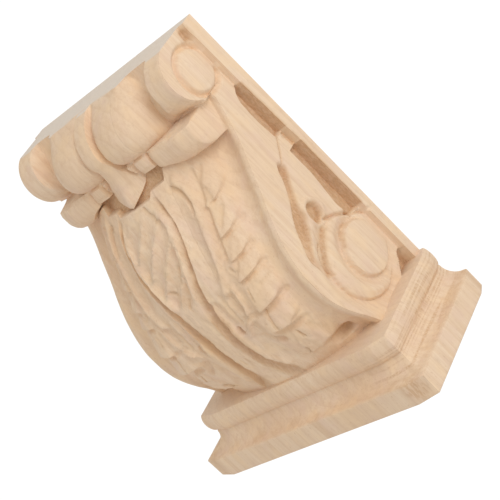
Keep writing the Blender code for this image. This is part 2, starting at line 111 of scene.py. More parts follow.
# Curves down the body, as (length, value) points on the pattern
BAND_EDGE = (
    (34, 51.0), (42, 55.2), (48, 59.0), (56, 63.0), (64, 65.5), (72, 66.5), (80, 66.3), (89, 64.5),
    (100, 60.3), (110, 54.8), (120, 48.0), (131, 41.2), (144, 33.0), (152, 29.2), (168, 23.0),
)
CROWN = (
    (34, 67.0), (42, 69.5), (50, 72.5), (60, 75.2), (70, 76.8), (80, 77.2), (90, 77.0), (100, 76.2),
    (110, 74.4), (120, 71.5), (130, 67.3), (140, 61.8), (150, 54.5), (168, 44.0),
)
STEM_EDGE = (
    (34, 6.5), (40, 6.0), (55, 5.3), (73, 5.0), (87, 6.3), (93, 7.3), (100, 8.8), (106, 11.3), (112, 13.6),
    (118, 15.4), (124, 16.9), (130, 17.7), (135, 18.2), (141, 16.6), (150, 13.6),
)
VALLEY_EDGE = (
    (34, 15.5), (38, 15.2), (41, 14.6), (46, 12.2), (52, 11.0), (57, 10.2), (63, 10.2), (70, 10.6),
    (78, 11.2), (86, 11.8), (92, 12.9), (100, 14.2), (106, 15.6), (112, 17.4), (118, 19.1), (124, 20.3),
    (130, 20.9), (136, 20.8), (143, 19.0), (150, 16.0),
)
VALLEY_DEEP = (
    (34, 0.6), (40, 3.4), (60, 4.3), (90, 4.2), (100, 3.8), (124, 3.4), (133, 3.4), (136.5, 1.8), (141, 2.0),
    (146, 1.4), (150, 0.4),
)

# Lobes of the leaf: root and tip length, inner and outer half width, height, tip slant, inner edge slant
LOBES = (
    (151.0, 132.5, 38.0, 50.0, 3.4, 0.10, 0.0),
    (134.0, 118.0, 38.5, 50.0, 3.4, 0.12, 0.0),
    (119.0, 107.0, 38.0, 50.5, 3.4, 0.10, 0.0),
    (108.0, 97.5, 36.0, 51.0, 3.6, 0.10, 0.0),
    (99.0, 80.8, 35.0, 51.5, 4.8, 0.17, 0.0),
    (83.0, 66.8, 28.5, 49.5, 5.0, -0.09, 0.0),
    (63.0, 43.5, 37.5, 50.0, 3.6, 0.0, -0.35),
)

# Ridges and valleys drawn over the leaf: half width, height, how torn (torn wood, and painted shade in the
# creases and hollows under the lobe tips), and the path as (across, length)
LEAF_STROKES = (
    (3.4, 2.0, 0.0, (
        (30, 150), (34, 144), (35.2, 138), (34.6, 129), (33.5, 119), (32, 109), (29, 101), (26, 95),
    )),
    (2.6, -1.9, 0.0, ((38.4, 147), (38.4, 138), (38, 128), (37.2, 118), (36.4, 110))),
    (2.0, -2.0, 0.35, ((26, 147.5), (29, 145.5), (31.2, 142), (32.6, 138), (33, 134.5))),
    (2.0, -1.0, 0.2, ((34.8, 113), (33, 106))),
    (1.9, -1.2, 0.3, ((15, 148), (17, 144), (19, 140))),
    (2.4, -1.5, 0.1, ((42.5, 146.5), (40.6, 142.5), (39.6, 138), (40.2, 134), (42.5, 131.8))),
    (2.0, -1.3, 0.2, ((41.6, 138), (43, 133.8))),
    (2.0, -1.5, 0.2, ((45, 127), (42.2, 122))),
    (2.0, -1.2, 0.2, ((36, 103.4), (38, 100.8), (40.3, 103.2))),
    (1.9, -1.0, 0.2, ((22, 95), (21, 86), (21, 79))),
    (2.2, 1.5, 0.0, ((31.4, 96), (30.4, 86), (27.4, 80), (23, 75))),
    (2.2, 1.7, 0.0, ((19, 71), (24, 75.4), (29, 78.6))),
    (3.8, -2.0, 0.1, ((26.6, 93), (26.2, 85))),
    (5.0, -1.8, 0.0, ((15.5, 92), (15.5, 80))),
    # These two creases under the lobe tips are also painted brown as shade
    (2.4, -1.2, 0.2, ((25.5, 79.9), (30, 79.3), (34, 79.2))),
    (1.6, -0.9, 0.2, ((45.5, 90.4), (50, 91))),
    (1.0, -0.7, 0.5, ((38.6, 92), (38.0, 86))),
    (1.1, -0.9, 0.6, ((37.7, 78), (37.5, 72), (37.6, 68))),
    # The next five rows are undercuts just past the lobe tips, with a little brown painted in as their shade
    (3.6, -2.0, 0.15, ((33, 64.0), (40, 63.2), (47, 62.6))),
    (2.6, -1.4, 0.15, ((38, 77.9), (45, 79.0), (50.5, 80.2))),
    (2.0, -1.2, 0.10, ((37.5, 95.4), (45, 96.0), (50, 96.6))),
    (1.8, -1.1, 0.10, ((40, 104.9), (45, 105.4), (50, 106.0))),
    (1.8, -1.1, 0.10, ((40, 115.8), (45, 116.6), (50, 117.2))),
    (0.9, -1.4, 1.0, ((39.6, 59.4), (40.2, 54.6))),
    # The hollow under lobe 6's left tip, painted brown as shade
    (3.0, -2.6, 0.2, ((25, 66.5), (26.2, 62.5), (29.5, 59.3))),
    (1.3, -3.2, 1.0, ((33.2, 47.5), (31.6, 44))),
    (2.0, -3.0, 0.7, ((16, 73.8), (16.2, 76.4))),
    (3.0, -1.6, 0.4, ((46.5, 59), (48.2, 52), (48.8, 46))),
    (2.8, 1.2, 0.0, ((13.4, 92), (13.2, 80), (12.6, 66), (13.4, 54), (16.5, 45))),
    (4.0, -1.0, 0.0, ((22, 66), (20, 56), (22, 46))),
)
BUD_STROKES = (
    (1.6, -1.4, 0.6, ((7, 148), (10, 143), (12, 139.5))),
    (1.6, -1.2, 0.7, ((10, 118.5), (7, 111))),
    (1.7, -1.2, 0.7, ((-5, 109), (-2, 107))),
    (1.4, -1.0, 0.6, ((3, 102), (1.5, 98.5))),
    (1.1, -0.6, 0.4, ((-2, 60), (-1.8, 56))),
    (1.0, -0.5, 0.4, ((1.5, 60), (1.6, 57))),
)
FLUTE_SLANT = 0.98
FLUTE_START = 104.0
FLUTE_PITCH = 12.5
FLUTE_DEEP = 2.9
FLUTES_OPEN = (97.0, 104.0)
FLUTES_CLOSE = (140.0, 147.0)
BUD_RIM = 0.9

# Hollow at the upper corner of the leaf: its centre, its half sizes and those of its brown floor, torn wood
# with painted shade
TOP_HOLLOW = (46.5, 41.2)
TOP_HOLLOW_HALF = (6.5, 4.2)
TOP_HOLLOW_TORN_AND_SHADE = (6.5, 4.6)
TOP_HOLLOW_DEEP = 8.0

# Volute at the foot: profiles down the pattern, as (length, depth) points
DISC_CENTRE = (24.5, 184.5)
DISC_RADIUS = 16.0
SWELLING = (
    (168.4, 45.4), (169.4, 46.8), (171, 48.6), (174, 50.6), (178, 51.5), (182, 51.0), (186, 49.5),
    (190, 46.8), (194, 43.4), (197, 40.0), (200, 36.0),
)
SWELLING_EDGE = ((168.4, 40.5), (176, 41.0), (183, 41.0), (189, 40.0), (194, 38.0), (200, 34.5))
STRAP = (
    (148.5, 55.8), (150.3, 55.2), (160, 52.0), (168, 50.2), (174, 50.6), (178, 51.6), (182, 51.2),
    (186, 49.9), (190, 47.8), (194, 45.2), (200, 42.0),
)
STRAP_HALF = ((150, 12.6), (158, 12.4), (162, 10.0), (168, 7.0), (174, 5.2), (180, 4.9), (200, 4.9))
NECK = (
    (168.4, 31.0), (170, 32.4), (173, 33.4), (178, 33.6), (183, 32.2), (190, 28.4), (196, 25.8), (200, 25.0),
)
DISC_EDGE = ((168.4, 47.6), (174, 48.7), (183.5, 52.0), (192, 52.2), (200, 53.2))
FOOT_EDGE = (
    (0, 30.0), (9, 28.4), (20, 29.0), (26, 31.6), (30, 33.6), (33, 31.5), (36.5, 27.0), (43, 25.2),
    (50, 25.2), (53, 28.6), (65, 28.5),
)
SECOND_ROLL = (
    (150.3, 36.0), (151.2, 39.6), (153, 43.0), (156, 45.6), (160, 47.0), (164, 47.0), (167, 46.0),
    (168.4, 45.2),
)
ROLL_LOWER_EDGE = (
    (0, 150.3), (4.8, 152.4), (10, 154.8), (12.6, 156.7), (14.0, 159.8), (25.0, 159.8), (26.0, 158.8),
    (33, 156.8), (42, 153.0), (50, 152.0), (57, 151.3), (65, 150.5),
)
BLOCK_FACE = 46.8
BLOCK_EDGE = 15.0
BLOCK_END = (24.8, 25.4)
BAND_JOIN = (56.5, 61.5)
DISC_RISE = 2.2
STRAP_FLATTENS = (172.0, 182.0)
STRAP_GROOVE = (158.0, 164.0)
STRAP_GROOVE_AT = 1.1
STRAP_GROOVE_HALF = 1.7
STRAP_GROOVE_DEEP = 3.2
FOOT_CLOSES_FROM = 190.0
FOOT_CLOSES_OVER = 10.6
POCKET_TOP = 149.8
POCKET_REACH = 53.0

# Side carving: scroll, upper button, eye, slots and the groove beside the band, as (depth, length)
SCROLL_CENTRE = (28.4, 60.5)
SCROLL_RADIUS = 22.9
BUTTON_CENTRE = (21.8, 59.3)
BUTTON_RADIUS = 14.9
SCROLL_WEDGE = ((27.5, 85.8), (21, 82.0), (15.7, 78.4), (10, 73.6), (5.0, 69.2))
UPPER_CENTRE = (19.5, 180.5)
UPPER_BUTTON = 11.0
UPPER_RIM = 14.4
SCROLL_FALL = 3.0
RING_DEEP = 2.6
EYE_CENTRE = (30.3, 92.3)
EYE_HALF = (4.6, 5.6)
EYE_DEEP = 3.4
CORNER_PIT_DEEP = 4.5
STRIP_EDGE = ((34, 6.0), (120, 6.0), (130, 6.9), (150, 7.6), (162, 8.2), (200, 8.5))
SLOT_FRONT = (
    (34, 13.2), (74, 13.2), (79, 14.7), (85, 15.4), (98, 13.7), (106, 12.8), (120, 12.8), (130, 13.4),
    (143, 14.4), (153, 13.9), (158, 11.8), (161, 9.2), (200, 9.4),
)
UPPER_SLOT = (128.8, 161.0)
LOWER_SLOT = (74.0, 119.6)
SLOT_BACK_SOFT = 0.3
SLOT_FRONT_SOFT = 0.35
SLOT_END_RUN = 0.8
GROOVE_PATH = (
    (66, 51.8), (72, 52.8), (79, 53.3), (84, 51.3), (88, 47.6), (95, 42.8), (101, 38.8), (106, 34.3),
    (112, 29.3), (117, 25.8), (121, 25.0),
)
GROOVE_HALF = (
    (66, 1.0), (79, 2.5), (84, 3.6), (88, 4.8), (95, 5.4), (101, 4.2), (106, 3.1), (112, 2.9), (117, 3.3),
    (121, 1.6),
)
GROOVE_DEEP = (
    (66, 0.0), (74, 1.6), (84, 3.0), (92, 4.2), (98, 3.8), (105, 2.9), (112, 3.3), (117, 4.2), (120.5, 1.8),
    (122, 0.0),
)
SIDE_STROKES = (
    (1.0, -1.2, 0.8, ((49.8, 67), (50.0, 74), (46.5, 78.6), (41.6, 81.5))),
    (0.9, -0.9, 0.8, ((12.2, 129.3), (18.5, 123.5), (25.0, 117.8))),
    (2.6, -0.3, 0.9, ((33, 83.8), (37.6, 81.5), (43, 77.8), (48, 73.7), (51.5, 69))),
    (1.4, -0.5, 0.7, ((19, 74.7), (23, 75.6), (28, 73.2), (32, 69.4))),
    (3.4, -0.9, 1.3, ((9.9, 193.5), (9.6, 196.5))),
)

# How the faces run: rows down the body, and lines that follow the carving round it
ROW_PITCH = 0.70
LINE_PITCH = 0.70
STEP_GAP = 0.5
TIP_RUN = 2.2
ROLL_BACK = 19.0
SOFT = 0.5
MARK_GAP = 0.1
EDGE_IN = 0.5
ARRIS = (0.2, 0.25)
SLOT_ROWS = (76.0, 120.0, 130.0)
ROLLS_START = (149.5, 152.0)
LEAF_LINES = (35.0, 39.0, 43.0, 46.5, 48.7, 50.6, 54.4, 58.4, 62.0, 64.4)
SLOT_LINES = 8
SIDE_LINES = 62
MOULDING_STEPS = (5, 56, 10, 112)


def smooth_curve(points, x):
    """Value at x of the smooth curve through the points, which never overshoots them."""
    knots, values = np.array(points, float).T
    span = np.diff(knots)
    slope = np.diff(values) / span
    tangent = np.concatenate(([slope[0]], np.zeros(len(slope) - 1), [slope[-1]]))
    before, after = slope[:-1], slope[1:]
    same_way = before * after > 0
    tangent[1:-1][same_way] = (2 * before * after)[same_way] / (before + after)[same_way]
    x = np.clip(x, knots[0], knots[-1])
    i = np.clip(np.searchsorted(knots, x) - 1, 0, len(span) - 1)
    t = (x - knots[i]) / span[i]
    rise = values[i + 1] - values[i]
    bend = (1 - t) * (span[i] * tangent[i] - rise) - t * (span[i] * tangent[i + 1] - rise)
    return values[i] + t * rise + t * (1 - t) * bend


def step(x, start, end):
    """0 up to start, 1 from end on, and smooth between them."""
    t = np.clip((x - start) / (end - start), 0, 1)
    return t * t * (3 - 2 * t)


def bump(x, half):
    """1 at zero, falling smoothly to 0 at half on either side."""
    return np.cos(np.clip(x / half, -1, 1) * np.pi / 2) ** 2


def rough(x, y, seed):
    """Smooth random relief from -1 to 1 on a lattice one unit wide, the same on every run."""
    column, row = np.floor(x), np.floor(y)
    along, down = step(x - column, 0, 1), step(y - row, 0, 1)

    def corner(i, j):
        wave = np.sin((column + i) * 127.1 + (row + j) * 311.7 + seed * 74.7) * 43758.5453
        return 2 * (wave - np.floor(wave)) - 1

    top = corner(0, 0) * (1 - along) + corner(1, 0) * along
    bottom = corner(0, 1) * (1 - along) + corner(1, 1) * along
    return top * (1 - down) + bottom * down


def off_path(x, y, path):
    """Distance from the nearest point of a path."""
    nearest = np.full(np.broadcast(x, y).shape, np.inf)
    for (a, b), (c, d) in zip(path[:-1], path[1:]):
        run, rise = c - a, d - b
        t = np.clip(((x - a) * run + (y - b) * rise) / (run**2 + rise**2), 0, 1)
        nearest = np.minimum(nearest, np.hypot(x - a - t * run, y - b - t * rise))
    return nearest


def strokes(x, y, drawn):
    """Relief of the ridges and valleys drawn along paths, and how torn they leave the wood, which under the
    lobe tips is painted shade.
    """
    relief, torn_and_shade = np.zeros_like(x), np.zeros_like(x)
    for half, height, tearing_and_shade, path in drawn:
        here = bump(off_path(x, y, path), half)
        relief = relief + height * here
        torn_and_shade = np.maximum(torn_and_shade, tearing_and_shade * here)
    return relief, torn_and_shade


def lobe_tip(shape, across):
    """Length at which a lobe ends, which slants across it."""
    _, tip, inner, outer, _, slant, _ = shape
    middle = (inner + outer) / 2
    return tip + slant * np.clip(across - middle, inner - middle, outer - middle)


def lobe(across, length, shape):
    """A leaf lobe: it rises from its root to its tip, and drops off sharply there."""
    root, tip, inner, outer, height, _, inner_slant = shape
    end = lobe_tip(shape, across)
    grown = np.clip((root - length) / (root - tip), 0, 1)
    outline = outer - 5 * (1 - np.clip(grown / 0.6, 0, 1)) ** 2 - 4 * np.clip(4 * grown - 3, 0, 1) ** 2
    start = inner + inner_slant * (root - length)
    run = 1.2 if inner_slant else 6.0
    inside = step(across, start - run / 2, start + run / 2)
    inside = inside * (1 - step(across, outline - 1.0, outline + 0.8))
    middle = (inner + outer) / 2
    crowned = 1 - 0.35 * np.clip((across - middle) / (outer - middle), -1, 1) ** 2
    return height * grown**0.8 * crowned * inside * step(length, end - TIP_RUN, end + STEP_GAP)


def valley_relief(across, length):
    """The valley beside the stem: a gentle slope out from the stem, and a steep wall at its far edge."""
    inner, outer = smooth_curve(STEM_EDGE, length), smooth_curve(VALLEY_EDGE, length)
    slope = np.sin(np.clip((across - inner) / (outer - inner), 0, 1) * np.pi / 2)
    wall = 1 - step(across, outer - WALL_START, outer + WALL_RUN)
    return -smooth_curve(VALLEY_DEEP, length) * slope * wall


def bud_relief(across, length):
    """Flutes that run aslant over the bud where the stem opens out, and the rim round it."""
    half = smooth_curve(STEM_EDGE, length)
    turn = (length - FLUTE_SLANT * across - FLUTE_START) / FLUTE_PITCH
    turn = turn - np.floor(turn)
    opened = step(length, *FLUTES_OPEN) * (1 - step(length, *FLUTES_CLOSE))
    inside = 1 - step(np.abs(across), half - 4.0, half - 1.6)
    flutes = -FLUTE_DEEP * (1 - (2 * turn - 1) ** 2) * opened * inside
    return flutes + BUD_RIM * opened * bump(np.abs(across) - half + 0.6, 2.4)


def leaf_relief(across, length):
    """Lobes, ribs and hollows of one half of the leaf, over its smooth dome."""
    raised = 1.6 * step(across, 14, 40) * (1 - step(across, 45.5, 50.5))
    lobes = np.max([lobe(across, length, shape) for shape in LOBES], axis=0)
    hollow = -2.2 * bump(across - 26.5, 7) * step(length, 98, 112) * (1 - step(length, 138, 147))
    pit = -TOP_HOLLOW_DEEP * bump(across - TOP_HOLLOW[0], TOP_HOLLOW_HALF[0]) ** 0.6
    pit = pit * bump(length - TOP_HOLLOW[1], TOP_HOLLOW_HALF[1]) ** 0.6
    panel = -1.0 * bump(across - 21, 8) * bump(length - 58, 18)
    return raised + lobes + hollow + pit + panel + strokes(across, length, LEAF_STROKES)[0]


def disc_front(length):
    """Depth of the volute's round disc."""
    depth, centre = DISC_CENTRE
    least = np.where(length < centre, 36.0, 4.0)
    return depth + np.sqrt(np.maximum(DISC_RADIUS**2 - (length - centre) ** 2, least))


def strap_relief(across, length, beside):
    """The strap down the volute's middle, a ridge between grooves that ends in a pendant."""
    half = smooth_curve(STRAP_HALF, length)
    slope = 0.30 * (1 - step(length, *STRAP_FLATTENS)) + 0.04
    strap = smooth_curve(STRAP, length) - slope * np.sqrt(across**2 + 9.0) - 0.012 * across**2
    strap = strap + 1.3 * bump(across, 5.5) * (1 - step(length, 157, 163)) * step(length, 150, 154)
    inside = 1 - step(across, half - WALL_START, half + WALL_START)
    groove = STRAP_GROOVE_DEEP * bump(across - half - STRAP_GROOVE_AT, STRAP_GROOVE_HALF)
    groove = groove * step(length, *STRAP_GROOVE)
    return beside - groove + (strap - beside + groove) * inside


def upper_roll(across, length):
    """The volute's first roll: a bulging swelling, a deep neck and a disc, out from the middle."""
    crest, neck = smooth_curve(SWELLING, length), smooth_curve(NECK, length)
    reach = smooth_curve(SWELLING_EDGE, length) - ROLL_BACK
    fallen = np.clip((across - ROLL_BACK) / reach, 0, 1) ** 2.3
    outer = neck + (crest - neck) * (1 - fallen) ** 0.6
    inner = crest - 2.8 * np.clip((ROLL_BACK - across) / 13, 0, 1) ** 2
    swelling = strap_relief(across, length, np.where(across > ROLL_BACK, outer, inner))
    closing = np.sqrt(1 - np.clip((length - FOOT_CLOSES_FROM) / FOOT_CLOSES_OVER, 0, 1) ** 2)
    foot = smooth_curve(FOOT_EDGE, across)
    swelling = foot + (swelling - foot) * closing
    edge = smooth_curve(DISC_EDGE, length)
    return swelling + (disc_front(length) - swelling) * step(across, edge - DISC_RISE, edge)


def lower_roll(across, length):
    """The second roll with its rounded end, the small square block beside it and the pendant."""
    band = smooth_curve(BAND_EDGE, length)
    roll = smooth_curve(SECOND_ROLL, length) - 3.0 * step(across, 46, 58)
    roll = roll - 5.0 * (1 - np.sqrt(1 - np.clip((31 - across) / 6.2, 0, 1) ** 2))
    roll = roll + (band - roll) * step(across, *BAND_JOIN)
    inside = strap_relief(across, length, BLOCK_FACE + 0 * roll)
    inside = inside - 3.0 * bump(across - 13.8, 2.0)
    inside = inside - 1.4 * step(across, 21.5, 25) * step(length, 158, 168)
    inside = inside - 0.8 * (1 - step(length, 160, 163))
    shape = inside + (roll - inside) * step(across, *BLOCK_END)
    notch = 45.0 - 14.4 * step(across, 40, 52)
    notch = np.where(across < 12, strap_relief(across, length, notch), notch)
    return notch + (shape - notch) * (1 - step(length, ROLL_NOTCH - 1.4, ROLL_NOTCH))


def leaf_dome(across, length):
    """The body below the volute: domed in the middle, with a gutter inside each edge band."""
    band = smooth_curve(BAND_EDGE, length)
    crown = smooth_curve(CROWN, length)
    dome = np.clip(1 - (across / DOME_HALF) ** 2, 0, 1)
    return band + (crown - band) * dome - GUTTER_DEEP * bump(across - GUTTER_AT, GUTTER_HALF)


def pocket_top(across):
    """Length at which the leaf ends and the dark pocket under the rolls begins."""
    end = POCKET_TOP + 2.6 * step(across, 13, 15) + 5.5 * step(across, 24.5, 27)
    return np.minimum(end, smooth_curve(ROLL_LOWER_EDGE, across) - 0.9)


def front_depth(across, length):
    """Depth of the front surface from the wall plane, on the pattern."""
    half = np.abs(across)
    body = leaf_dome(half, length)
    carved = body + valley_relief(half, length) + leaf_relief(half, length) + bud_relief(across, length)
    carved = carved + strokes(across, length, BUD_STROKES)[0]
    pocket = body - 3.2 * (1 - step(half, 25, 27)) - 1.6 * (1 - step(half, 48, 54))
    below = np.where(length < pocket_top(half), carved, np.minimum(carved, pocket))
    below = np.where(half > POCKET_REACH, carved, below)
    lower = np.where(length > smooth_curve(ROLL_LOWER_EDGE, half), lower_roll(half, length), below)
    lower = np.where(half > BAND_JOIN[1], smooth_curve(BAND_EDGE, length), lower)
    return np.where(length > ROLL_NOTCH, upper_roll(half, length), lower)


def scroll_relief(depth, length):
    """The scroll on the side face: a raised disc, and a raised button in it."""
    across, up = depth - SCROLL_CENTRE[0], length - SCROLL_CENTRE[1]
    radius = np.hypot(across, up)
    angle = np.degrees(np.arctan2(up, across))
    open_side = step(angle, -135, -100) * (1 - step(angle, 70, 130))
    outside = -SCROLL_FALL * (1 - step(radius, SCROLL_RADIUS + 1, SCROLL_RADIUS + 9)) * open_side
    outside = outside * step(radius, SCROLL_RADIUS - SOFT, SCROLL_RADIUS + SOFT)
    rounded = -1.1 * step(radius, SCROLL_RADIUS - 4, SCROLL_RADIUS)
    rounded = rounded * (1 - step(radius, SCROLL_RADIUS, SCROLL_RADIUS + SOFT))
    from_button = np.hypot(depth - BUTTON_CENTRE[0], length - BUTTON_CENTRE[1])
    ring = -RING_DEEP * (1 - step(from_button, BUTTON_RADIUS + 1, BUTTON_RADIUS + 7.5))
    ring = ring * step(from_button, BUTTON_RADIUS - SOFT, BUTTON_RADIUS + SOFT) * step(depth, 7, 15)
    dome = 1.0 * np.clip(1 - (from_button / BUTTON_RADIUS) ** 2, 0, 1) ** 0.6 * step(depth, 7, 15)
    wedge = -2.2 * bump(off_path(depth, length, SCROLL_WEDGE), 1.5)
    return outside + rounded * open_side + ring + dome + wedge


def upper_button_relief(depth, length):
    """The ring between the upper volute's raised button and its rim."""
    radius = np.hypot(depth - UPPER_CENTRE[0], length - UPPER_CENTRE[1])
    middle = (UPPER_BUTTON + UPPER_RIM) / 2
    ring = -RING_DEEP * bump(radius - middle, middle - UPPER_BUTTON + 0.7)
    ring = ring * step(depth, 8.6, 9.6)
    return ring + 0.8 * np.clip(1 - (radius / UPPER_BUTTON) ** 2, 0, 1) * step(depth, 8.6, 11)


def in_slots(depth, length, back):
    """1 inside the two slots beside the back strip and the shallow link between them, 0 outside."""
    front = smooth_curve(SLOT_FRONT, length)
    within = step(depth, back - SLOT_BACK_SOFT, back + SLOT_BACK_SOFT)
    within = within * (1 - step(depth, front - SLOT_FRONT_SOFT, front + SLOT_FRONT_SOFT))
    link = 0.45 * (1 - step(depth, 8.6, 9.4))
    shares = ((*UPPER_SLOT, 1.0), (*LOWER_SLOT, 1.0), (LOWER_SLOT[1], UPPER_SLOT[0], link))
    reached = sum(
        share * step(length, low, low + SLOT_END_RUN) * (1 - step(length, high - SLOT_END_RUN, high))
        for low, high, share in shares
    )
    return within * reached


def side_cut(depth, length, deep_slot):
    """How far the side face stands out or is cut in, and how torn its floor is."""
    strip = smooth_curve(STRIP_EDGE, length)
    half = smooth_curve(GROOVE_HALF, length)
    off = np.abs(depth - smooth_curve(GROOVE_PATH, length))
    groove = -smooth_curve(GROOVE_DEEP, length) * (1 - step(off, half - 2.0, half + 0.8))
    eye_at = np.hypot((depth - EYE_CENTRE[0]) / EYE_HALF[0], (length - EYE_CENTRE[1]) / EYE_HALF[1])
    eye = -EYE_DEEP * (1 - step(eye_at, 0.88, 1.08))
    rim = 0.8 * bump(eye_at - 1.35, 0.35)
    corner = step(depth, 6.0, 6.6) * (1 - step(depth + 0.95 * (length - 35.5), 15, 16))
    pit = -CORNER_PIT_DEEP * corner * (1 - step(length, 42, 43.5))
    marks, marks_torn = strokes(depth, length, SIDE_STROKES)
    torn_and_shade = np.clip(-(0.9 * groove + eye + pit) / 1.8, 0, 1)
    torn_and_shade = torn_and_shade * step(rough(depth / 2.3, length / 4.1, 9.0), -1.5, 0.0)
    torn_and_shade = np.maximum(torn_and_shade, np.minimum(marks_torn, 1))
    torn_and_shade = np.maximum(torn_and_shade, in_slots(depth, length, strip - 0.9))
    cut = -deep_slot * in_slots(depth, length, strip) + groove + eye + rim + pit + marks
    return cut + scroll_relief(depth, length) + upper_button_relief(depth, length), torn_and_shade


def spread(marks, pitch):
    """How lines run through the marks: for each line, the mark before it and how far it is to the next."""
    lines = []
    for mark, (low, high) in enumerate(zip(marks[:-1], marks[1:])):
        pieces = max(1, round(float(np.mean(high - low)) / pitch))
        lines += [(mark, k / pieces) for k in range(pieces)]
    return lines + [(len(marks) - 2, 1.0)]


def along(marks, lines):
    """Values of the lines, from the marks that they run between."""
    return np.array([marks[mark] + (marks[mark + 1] - marks[mark]) * part for mark, part in lines])


def row_marks(across):
    """Lengths down the body that rows keep to at each distance across, such as the tips of the lobes."""
    level = np.zeros_like(across)
    marks = [level + PATTERN_LEDGE]
    breaks = [lobe_tip(shape, across) for shape in LOBES] + [level + at for at in SLOT_ROWS]
    for at in sorted(breaks, key=np.mean):
        marks += [at - STEP_GAP / 2, at + STEP_GAP / 2]
    for edge in (pocket_top(across), smooth_curve(ROLL_LOWER_EDGE, across)):
        marks += [edge - MARK_GAP, edge + MARK_GAP]
    return marks + [level + at for at in (ROLL_NOTCH - MARK_GAP, ROLL_NOTCH + MARK_GAP, PATTERN_FOOT)]


def line_marks(length):
    """Distances from the middle that lines keep to at one length: along the stem, or across the rolls."""
    stem, valley = smooth_curve(STEM_EDGE, length), smooth_curve(VALLEY_EDGE, length)
    wall = valley + WALL_RUN
    on_leaf = [stem / 2, stem, (stem + valley) / 2, valley - WALL_START, wall]
    on_leaf += [wall + (LEAF_LINES[0] - wall) * k / 3 for k in (1, 2)]
    strap = smooth_curve(STRAP_HALF, length)
    on_roll = [strap / 2, strap - WALL_START, strap + WALL_START, strap + 1.2]
    on_roll += [0 * strap + line for line in (BLOCK_EDGE, *BLOCK_END)]
    reached = step(length, *ROLLS_START)
    inner = [a + (b - a) * reached for a, b in zip(on_leaf, on_roll)]
    return [0 * stem, *inner, *[0 * stem + line for line in LEAF_LINES]]


def carve_body(sizes):
    """Points round the body, row by row from the ledge to the foot, and how brown the wood is at each: torn,
    with painted shade in places.
    """
    rows = spread(row_marks(np.array([PATTERN_HALF])), ROW_PITCH)
    level = along(row_marks(np.array([PATTERN_HALF])), rows)[:, 0]
    lines = spread(line_marks(level), LINE_PITCH)
    half = along(line_marks(level), lines).T
    across = np.concatenate((half[:, ::-1], -half[:, 1:]), axis=1)
    length = np.array([
        along(row_marks(np.abs(a)), [row])[0] for a, row in zip(across, rows)
    ])
    depth = front_depth(across, length)
    front_torn_and_shade = front_tears_and_shade(across, length)
    depth = depth + front_grit(across, length, front_torn_and_shade)

    edge = depth[:, :1]
    strip = smooth_curve(STRIP_EDGE, level)[:, None]
    slot_front = smooth_curve(SLOT_FRONT, level)[:, None]
    marks = [0 * strip, strip / 2, strip - SLOT_BACK_SOFT, strip + SLOT_BACK_SOFT]
    marks += [slot_front - SLOT_FRONT_SOFT, slot_front + SLOT_FRONT_SOFT, edge - EDGE_IN]
    side_lines = [(0, 0.0), (0, 0.5), (1, 0.0), (1, 0.5), (2, 0.0)]
    side_lines += [(3, k / SLOT_LINES) for k in range(SLOT_LINES)] + [(4, 0.0)]
    side_lines += [(5, k / SIDE_LINES) for k in range(SIDE_LINES)] + [(5, 1.0)]
    side_depth = np.concatenate(
        [marks[mark] + (marks[mark + 1] - marks[mark]) * part for mark, part in side_lines], axis=1,
    )
    side_length = np.repeat(level[:, None], side_depth.shape[1], axis=1)
    cut, side_torn = side_cut(side_depth, side_length, sizes.slot_depth / sizes.across)
    strip_step = step(side_depth, strip - SLOT_BACK_SOFT, strip + SLOT_BACK_SOFT)
    proud = sizes.strip_proud / sizes.across * (1 - strip_step)
    near = PATTERN_HALF + proud + cut + side_grit(side_depth, side_length, side_torn, 3.0)
    far = PATTERN_HALF + proud + cut + side_grit(side_depth, side_length, side_torn, 8.0)

    depth[:, 0] -= ARRIS[1]
    depth[:, -1] -= ARRIS[1]
    across[:, 0] -= ARRIS[0]
    across[:, -1] += ARRIS[0]
    right = np.stack((near, side_depth, side_length), axis=-1)
    front = np.stack((across, depth, length), axis=-1)
    left = np.stack((-far, side_depth, side_length), axis=-1)[:, ::-1]
    points = np.concatenate((right, front, left), axis=1)
    torn_and_shade = np.concatenate((side_torn, front_torn_and_shade, side_torn[:, ::-1]), axis=1)
    points[..., 0] *= -sizes.across
    points[..., 1] *= -sizes.outward
    points[..., 2] = sizes.ledge_z - (points[..., 2] - PATTERN_LEDGE) * sizes.downward
    return points, torn_and_shade


